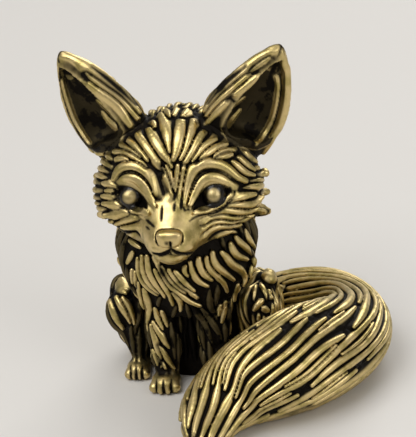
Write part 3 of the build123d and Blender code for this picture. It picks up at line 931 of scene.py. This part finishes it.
def nose_block(local):
    """Distance from the nose's block, narrower below, in the block's own frame."""
    taper = 1 - NOSE_TAPER * np.clip(local[..., 2], -1, 1)
    shares = np.abs(local) / NOSE_HALF
    shares[..., 0] = np.abs(local[..., 0] * taper) / NOSE_HALF[0]
    return ((shares**NOSE_POWER).sum(-1) ** (1 / NOSE_POWER) - 1) * NOSE_HALF.min()


def nose_rim(gap):
    """How dark the fine moat round the nose is."""
    return np.minimum(fade(gap, *RIM_RISE), fade(gap, *RIM_FALL))


slices, cells = local_box(NOSE_BLOCK - NOSE_REACH, NOSE_BLOCK + NOSE_REACH)
offsets = np.broadcast_arrays(*[axis - middle for axis, middle in zip(cells, NOSE_BLOCK)])
local = np.stack(offsets, axis=-1) @ HEAD_TURN
block = nose_block(local)
moat = MOAT * fade(local[..., 2], *MOAT_FADE)
sculpt[slices] = np.maximum(sculpt[slices], moat - block)
sculpt[slices] = np.minimum(sculpt[slices], block)

# Nostrils and fine cuts
NOSTRILS = [on_head(NOSE_ASIDE + side * 0.16, -9.42, -2.95) for side in SIDES]
NOSTRIL_RADIUS = 0.16
NOSTRIL_BLEND = 0.1
CUT_BLEND = 0.05
for centre in NOSTRILS:
    slices, cells = local_box(centre - NOSTRIL_RADIUS - PAD, centre + NOSTRIL_RADIUS + PAD)
    sculpt[slices] = -smooth_min(-sculpt[slices], ball_field(cells, centre, NOSTRIL_RADIUS), NOSTRIL_BLEND)
sculpt = -smooth_min(-sculpt, cuts, CUT_BLEND)

# Toes: lumps with fine grooves between them. A groove's point is so far behind a toe's tip, and so high
PAWS = [(side * 2.5, 8.1, 3.0) for side in SIDES] + [(side * 5.8, 5.2, 2.5) for side in SIDES]
TOES = 4
TOE_WIDTH = 1.0
TOE_RADII = np.array((0.4, 0.52))
TOE_ROOT_BACK, TOE_ROOT_HEIGHT = 1.0, 0.95
TOE_TIP_OUT, TOE_TIP_HEIGHT = 0.1, 0.62
TOE_SPREAD = 1.1
TOE_BLEND = 0.12
TOE_GROOVE = ((0.8, 1.45), (0.45, 1.2), (0.15, 0.8), (0.2, 0.2))
TOE_GROOVE_RADII = (0.06, 0.17)
TOE_GROOVE_STEP = 0.3
for middle, front, width in PAWS:
    for toe in range(TOES):
        across = (toe - (TOES - 1) / 2) * (width - TOE_WIDTH) / (TOES - 1)
        tip = front - across * across / width
        root = (middle + across, TOE_ROOT_BACK - tip, TOE_ROOT_HEIGHT)
        end = (middle + TOE_SPREAD * across, TOE_RADII[1] - tip - TOE_TIP_OUT, TOE_TIP_HEIGHT)
        slices, gap = chain_field(np.array((root, end)), TOE_RADII)
        sculpt[slices] = smooth_min(sculpt[slices], gap, TOE_BLEND)
    for step in (-1, 0, 1):
        across = step * (width - TOE_WIDTH) / (TOES - 1)
        tip = front - across * across / width
        line = [(middle + across, back - tip, height) for back, height in TOE_GROOVE]
        line = smooth_path(line, TOE_GROOVE_STEP)
        for _ in range(3):
            line = np.array([point - outward(base, point) * sample(base, point) for point in line])
        slices, gap = chain_field(line, np.linspace(*TOE_GROOVE_RADII, len(line)))
        sculpt[slices] = -smooth_min(-sculpt[slices], gap, CUT_BLEND)
        np.minimum(cuts[slices], gap, out=cuts[slices])
sculpt = np.maximum(sculpt, -GRID[2])

# How dark the surface is: black patina in recesses, seams and cuts, patina in the fur's nooks, and painted
# shade on the ruff's hem, the chest front, the left front leg, marked fur and coves
CROWD_MM, COVE_MM = 0.9, 3.0
NOOK_FADE = (0.57, 0.2)
COVE_FADE = (0.55, 0.13)
COVE_MOST = 0.9
STRAND_FADE = (0.03, 0.06)
HOLLOW_DARK = 0.95
EYE_HOLLOWS = {side: on_head(side * EYE_OUT, -5.4, EYE_HEIGHT) for side in SIDES}
EYE_HOLLOW_HALF = (2.05, 1.3, 1.25)
EYE_HOLLOW_FADE = (1.16, -0.12)
RIM_LOWEST = -0.7
NOSTRIL_FADE = (0.34, -0.2)
IRIS_FADE = (0.975, -0.12)
IRIS_DARK = 0.25
GAZE_OUT, GAZE_UP = 8.0, -6.0
CHEST_SHADE_FADE = (-1.0, -1.0)
LEG_SHADE_FADE = (1.8, 1.5)
LEG_SHADE_DARK = 0.9
STRAND_SHADE_FADE = (1.7, 0.5)
STRAND_SHADE_DARK = 0.86
HEM_MM, HEM_WIDTH = 0.8, -0.4
CUT_FADE = (0.12, -0.1)
SEAM_GAIN, SEAM_START = 1.6, 0.35
ruff_layers = np.argwhere((node_fields["chest_ruff"] < 0).any((0, 1)))
HEM_SHADE_FADE = (ORIGIN[2] + VOXEL * ruff_layers[0, 0] + HEM_MM, HEM_WIDTH)
crowd = crowding(sculpt, CROWD_MM)
# Crowding at the larger reach, for painted shade in the coves
cove_shade = crowding(sculpt, COVE_MM)


def between_strands(points):
    """1 between the strands, 0 on them."""
    return fade(sample(strands, points), *STRAND_FADE)


def recess_dark(points):
    """Black of the eye hollows, the nose's moat, the nostrils and the ears' insides."""
    free = between_strands(points)
    nose_local = (points - NOSE_BLOCK) @ HEAD_TURN
    layers = [HOLLOW_DARK * in_ear_hollow(points) * free]
    layers.append(np.where(nose_local[:, 2] > RIM_LOWEST, nose_rim(nose_block(nose_local)), 0))
    for side, hollow in EYE_HOLLOWS.items():
        reach = np.linalg.norm((points - hollow) @ EYE_TURNS[side] / EYE_HOLLOW_HALF, axis=1)
        layers.append(free * fade(reach, *EYE_HOLLOW_FADE))
    for centre in NOSTRILS:
        layers.append(fade(np.linalg.norm(points - centre, axis=1), *NOSTRIL_FADE))
    return np.max(layers, axis=0)


def ball_dark(points, centre):
    """Black round the rim of an eyeball."""
    side = np.sign(centre[0])
    axis = HEAD_TURN @ turn("Z", side * GAZE_OUT) @ turn("X", GAZE_UP) @ np.array((0.0, -1.0, 0.0))
    facing = (points - centre) @ axis / np.linalg.norm(points - centre, axis=1)
    return np.maximum(fade(facing, *IRIS_FADE), IRIS_DARK)


def darkness(name, points):
    """How black the patina and the painted shade are at points of a piece."""
    heights = points[:, 2]
    layers = [
        ball_dark(points, EYEBALLS[name]) if name in EYEBALLS else recess_dark(points),
        # Painted shade on the marked strands, none low down near the paws
        STRAND_SHADE_DARK * (sample(shaded_strands, points) * fade(heights, *STRAND_SHADE_FADE)),
        fade(sample(cuts, points), *CUT_FADE),
        np.clip(SEAM_GAIN * sample(meeting, points) - SEAM_START, 0, 1),
    ]
    # Painted shade on the chest's front, below the ruff
    if name == "torso":
        layers.append(fade(points[:, 1], *CHEST_SHADE_FADE))
    # Painted shade between the strands on the ruff's lower hem
    if name == "chest_ruff":
        layers.append(between_strands(points) * fade(heights, *HEM_SHADE_FADE))
    # Painted shade between the strands on the left front leg, above its paw
    if name == "front_leg_left":
        layers.append(between_strands(points) * np.minimum(fade(heights, *LEG_SHADE_FADE), LEG_SHADE_DARK))
    return np.max(layers, axis=0)


def patina_and_painted_shade(points):
    """How far points lie in nooks of the fur, for patina, or in coves between the limbs, for painted shade.
    """
    nook = fade(sample(crowd, points, POOL_CELL, POOL_ORIGIN), *NOOK_FADE)
    # Painted shade in the coves between the limbs and under the chin
    deep = fade(sample(cove_shade, points, POOL_CELL, POOL_ORIGIN), *COVE_FADE)
    return np.maximum(nook, np.minimum(deep, COVE_MOST))


# Parted again into the CAD's pieces
OVERLAP = 0.03
EYE_COAT = 0.5
nearest = np.full(SHAPE, BAND_MM, np.float32)
second = np.full(SHAPE, BAND_MM, np.float32)
for field in node_fields.values():
    np.minimum(second, np.maximum(nearest, field), out=second)
    np.minimum(nearest, field, out=nearest)


def cast_mesh(name, points, quads):
    """A smooth mesh in metres."""
    mesh = bpy.data.meshes.new(name)
    mesh.vertices.add(len(points))
    mesh.vertices.foreach_set("co", (points * MM).astype(np.float32).ravel())
    mesh.loops.add(len(quads) * 4)
    mesh.loops.foreach_set("vertex_index", quads.astype(np.int32).ravel())
    mesh.polygons.add(len(quads))
    mesh.polygons.foreach_set("loop_start", np.arange(0, len(quads) * 4, 4, dtype=np.int32))
    mesh.update(calc_edges=True)
    mesh.validate()
    mesh.shade_smooth()
    return mesh


def add_object(name, data):
    """An object in the scene that carries the given data."""
    made = bpy.data.objects.new(name, data)
    bpy.context.scene.collection.objects.link(made)
    return made


pieces = {}
for name in node_names:
    field = node_fields[name].astype(np.float32)
    others = np.where(field <= nearest, second, nearest)
    points, quads = surface_of(np.maximum(sculpt, (field - others) / 2 - OVERLAP))
    mesh = cast_mesh(name + "_cast", points, quads)
    attributes = {
        "level": sample(base, points),
        "dark": darkness(name, points),
        "shade": patina_and_painted_shade(points),
        "gloss": np.full(len(points), EYE_COAT if name in EYEBALLS else 0.0),
    }
    for label, values in attributes.items():
        attribute = mesh.attributes.new(label, "FLOAT", "POINT")
        attribute.data.foreach_set("value", values.astype(np.float32))
    pieces[name] = add_object(name + "_cast", mesh)

# Antiqued brass: polished on the raised fur, black patina in the grooves, with painted shade mixed into the
# patina
BRIGHT_BRASS = (0.69, 0.535, 0.25, 1)
DULL_BRASS = (0.44, 0.35, 0.12, 1)
PATINA = (0.012, 0.010, 0.008, 1)
RAISED, LOWERED = 0.07, -0.05
GROOVE_TOP, GROOVE_FLOOR = -0.04, -0.24
STAIN_MOST = 0.45
POLISH = (0.30, 0.46)
PATINA_ROUGHNESS = 0.6
material = bpy.data.materials.new("antiqued_brass")
material.use_nodes = True
tree = material.node_tree
tree.nodes.clear()


def add_node(tree, kind, inputs=None, **settings):
    """A node whose inputs are set to values or linked to other nodes' outputs."""
    made = tree.nodes.new(kind)
    for key, value in settings.items():
        setattr(made, key, value)
    for key, value in (inputs or {}).items():
        if isinstance(value, bpy.types.NodeSocket):
            tree.links.new(value, made.inputs[key])
        else:
            made.inputs[key].default_value = value
    return made


def attribute_value(label):
    return add_node(tree, "ShaderNodeAttribute", attribute_name=label).outputs["Fac"]


def map_range(source, low, high, out_low=0.0, out_high=1.0):
    inputs = {"Value": source, "From Min": low, "From Max": high, "To Min": out_low, "To Max": out_high}
    return add_node(tree, "ShaderNodeMapRange", inputs, interpolation_type="SMOOTHSTEP").outputs["Result"]


def maths(operation, a, b):
    return add_node(tree, "ShaderNodeMath", {0: a, 1: b}, operation=operation, use_clamp=True).outputs[0]


def noise(scale, detail, roughness=0.55):
    place = coordinates.outputs["Object"]
    inputs = {"Scale": scale, "Detail": detail, "Roughness": roughness, "Vector": place}
    return add_node(tree, "ShaderNodeTexNoise", inputs).outputs["Fac"]


def mix_colour(factor, a, b):
    return add_node(tree, "ShaderNodeMix", {"Factor": factor, 6: a, 7: b}, data_type="RGBA").outputs[2]


coordinates = add_node(tree, "ShaderNodeTexCoord")
level = attribute_value("level")
tarnish = noise(scale=700.0, detail=5.0)
speckle = noise(scale=4200.0, detail=4.0, roughness=0.7)
deep = map_range(level, GROOVE_TOP, GROOVE_FLOOR)
# Patina in the fur's nooks and painted shade in the coves
patina_and_shade = map_range(attribute_value("shade"), 0.0, 1.0)
stain = map_range(tarnish, 0.5, 0.75, 0.0, STAIN_MOST)
patina = maths("MAXIMUM", deep, patina_and_shade)
# The dark attribute holds patina and painted shade
patina = maths("MAXIMUM", patina, attribute_value("dark"))
patina = maths("ADD", patina, maths("MULTIPLY", stain, map_range(level, RAISED, LOWERED)))
warm = mix_colour(map_range(tarnish, 0.35, 0.7), BRIGHT_BRASS, DULL_BRASS)
rough = {"Factor": patina, 2: map_range(speckle, 0.3, 0.75, *POLISH), 3: PATINA_ROUGHNESS}
bumps = {"Strength": 0.12, "Distance": 0.00004, "Height": speckle}
looks = {
    "Base Color": mix_colour(patina, warm, PATINA),
    "Metallic": 1.0,
    "Roughness": add_node(tree, "ShaderNodeMix", rough, data_type="FLOAT").outputs[0],
    "Coat Weight": attribute_value("gloss"),
    "Coat Roughness": 0.12,
    "Normal": add_node(tree, "ShaderNodeBump", bumps).outputs["Normal"],
}
shader = add_node(tree, "ShaderNodeBsdfPrincipled", looks)
add_node(tree, "ShaderNodeOutputMaterial", {"Surface": shader.outputs["BSDF"]})

for name, piece in pieces.items():
    piece.data.materials.append(material)
    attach(piece, "root")
    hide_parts(name)

# Floor, light and camera, in metres
floor_material = bpy.data.materials.new("pale_floor")
floor_material.use_nodes = True
floor_inputs = floor_material.node_tree.nodes["Principled BSDF"].inputs
floor_inputs["Base Color"].default_value = (0.62, 0.60, 0.57, 1)
floor_inputs["Roughness"].default_value = 0.7
floor_mesh = bpy.data.meshes.new("floor")
floor_mesh.from_pydata([(-4, -4, 0), (4, -4, 0), (4, 4, 0), (-4, 4, 0)], [], [(0, 1, 2, 3)])
floor_mesh.materials.append(floor_material)
floor = add_object("floor", floor_mesh)

MIDDLE = Vector((0.002, -0.004, 0.014))


def softbox(name, place, size, power):
    """A large square lamp that faces the ornament's middle."""
    lamp = bpy.data.lights.new(name, "AREA")
    lamp.shape = "SQUARE"
    lamp.size = size
    lamp.energy = power
    obj = add_object(name, lamp)
    obj.location = place
    obj.rotation_euler = (Vector(place) - MIDDLE).to_track_quat("Z", "Y").to_euler()


softbox("key", place=(-0.14, -0.16, 0.36), size=0.30, power=1.05)
softbox("fill", place=(0.34, -0.22, 0.22), size=0.24, power=0.5)
softbox("rim", place=(0.10, 0.34, 0.26), size=0.24, power=0.7)

# World: a soft glow, stronger overhead
GLOW_RAMP = {"From Min": -0.1, "From Max": 0.8, "To Min": 0.22, "To Max": 0.50}
world = bpy.data.worlds.new("studio")
bpy.context.scene.world = world
world.use_nodes = True
sky = world.node_tree
sky.nodes.clear()
direction = add_node(sky, "ShaderNodeTexCoord")
split = add_node(sky, "ShaderNodeSeparateXYZ", {"Vector": direction.outputs["Generated"]})
height = add_node(sky, "ShaderNodeMapRange", {"Value": split.outputs["Z"], **GLOW_RAMP})
glowing = {"Color": (1.0, 0.98, 0.95, 1), "Strength": height.outputs["Result"]}
glow = add_node(sky, "ShaderNodeBackground", glowing)
add_node(sky, "ShaderNodeOutputWorld", {"Surface": glow.outputs["Background"]})

lens = bpy.data.cameras.new("camera")
lens.sensor_fit = "VERTICAL"
lens.sensor_height = 24.0
lens.lens = lens.sensor_height * DISTANCE * PIXELS_PER_MM / PHOTO_HEIGHT
lens.clip_start = 0.01
camera = add_object("camera", lens)
axes = Matrix((RIGHT, UP, BACK)).transposed().to_4x4()
camera.matrix_world = Matrix.Translation(Vector(EYE_POINT * MM)) @ axes
bpy.context.scene.camera = camera
bpy.context.scene.view_settings.view_transform = "Standard"
